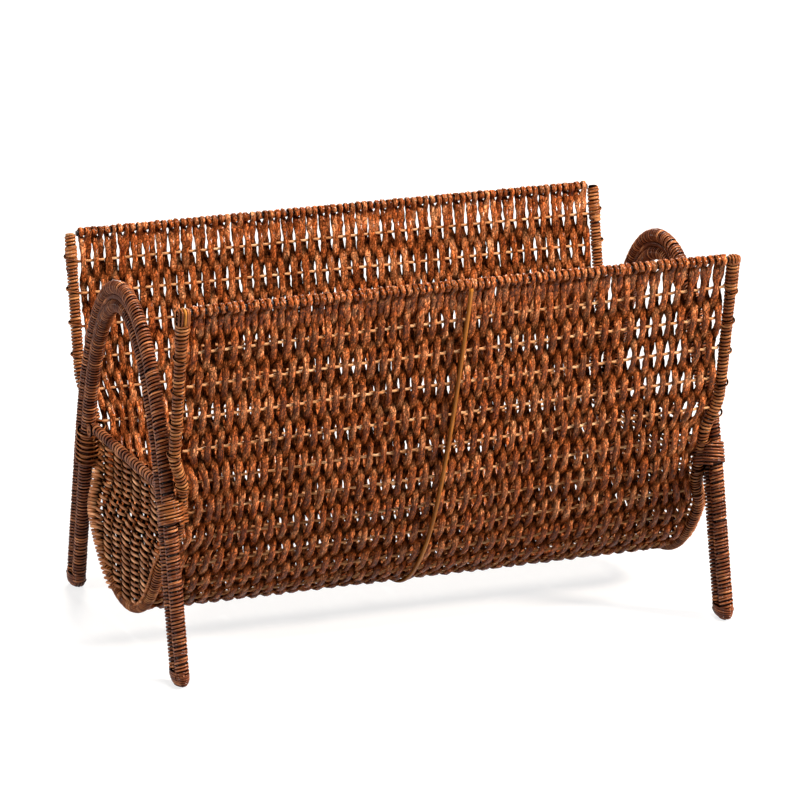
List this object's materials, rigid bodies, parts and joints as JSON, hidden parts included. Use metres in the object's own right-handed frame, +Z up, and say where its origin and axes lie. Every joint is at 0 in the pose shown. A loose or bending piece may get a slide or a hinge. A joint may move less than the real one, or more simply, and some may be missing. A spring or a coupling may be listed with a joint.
{
  "type": "magazine basket",
  "caption": "Magazine basket of wrapped cane: a woven trough hung between two end frames, each an arched leg pair crossed by a hoop, with a crossbar, wicker end panels and lashings.",
  "frame": {"origin": "centre of the footprint on the floor, under the middle of the basket", "axes": "+X along the trough and its rails, -Y towards the front side, +Z up"},
  "size_m": [0.4162, 0.2552, 0.2647],
  "materials": {
    "dark_reed": "stained round reed, wound, satin",
    "copper_reed": "stained round reed, wound, satin",
    "peeled_cane": "peeled cane, natural",
    "chestnut_strand": "stained flat strand, twisted, satin",
    "golden_cane": "smooth stained cane, semi-gloss"
  },
  "bodies": {
    "root": {"centre_cane": "golden_cane", "front_rail_binding": "chestnut_strand", "front_rail_core": "peeled_cane", "left_arch_inner_core": "peeled_cane", "left_arch_inner_wrap": "dark_reed", "left_arch_outer_core": "peeled_cane", "left_arch_outer_wrap": "dark_reed", "left_arch_runner": "golden_cane", "left_belly_hoop_wrap": "copper_reed", "left_crossbar_core": "peeled_cane", "left_crossbar_wrap": "dark_reed", "left_front_corner_tie": "copper_reed", "left_front_foot_cap": "dark_reed", "left_front_lashing": "copper_reed", "left_front_post_wrap": "copper_reed", "left_hoop_core": "peeled_cane", "left_panel_stake_1": "peeled_cane", "left_panel_stake_2": "peeled_cane", "left_panel_stake_3": "peeled_cane", "left_panel_stake_4": "peeled_cane", "left_panel_stake_5": "peeled_cane", "left_panel_weave": "dark_reed", "left_rear_corner_tie": "copper_reed", "left_rear_foot_cap": "dark_reed", "left_rear_lashing": "copper_reed", "left_rear_post_wrap": "copper_reed", "rear_rail_binding": "chestnut_strand", "rear_rail_core": "peeled_cane", "right_arch_inner_core": "peeled_cane", "right_arch_inner_wrap": "dark_reed", "right_arch_outer_core": "peeled_cane", "right_arch_outer_wrap": "dark_reed", "right_arch_runner": "golden_cane", "right_belly_hoop_wrap": "copper_reed", "right_crossbar_core": "peeled_cane", "right_crossbar_wrap": "dark_reed", "right_front_corner_tie": "copper_reed", "right_front_foot_cap": "dark_reed", "right_front_lashing": "copper_reed", "right_front_post_wrap": "copper_reed", "right_hoop_core": "peeled_cane", "right_panel_stake_1": "peeled_cane", "right_panel_stake_2": "peeled_cane", "right_panel_stake_3": "peeled_cane", "right_panel_stake_4": "peeled_cane", "right_panel_stake_5": "peeled_cane", "right_panel_weave": "dark_reed", "right_rear_corner_tie": "copper_reed", "right_rear_foot_cap": "dark_reed", "right_rear_lashing": "copper_reed", "right_rear_post_wrap": "copper_reed", "trough_weave": "chestnut_strand"}
  },
  "joints": []
}
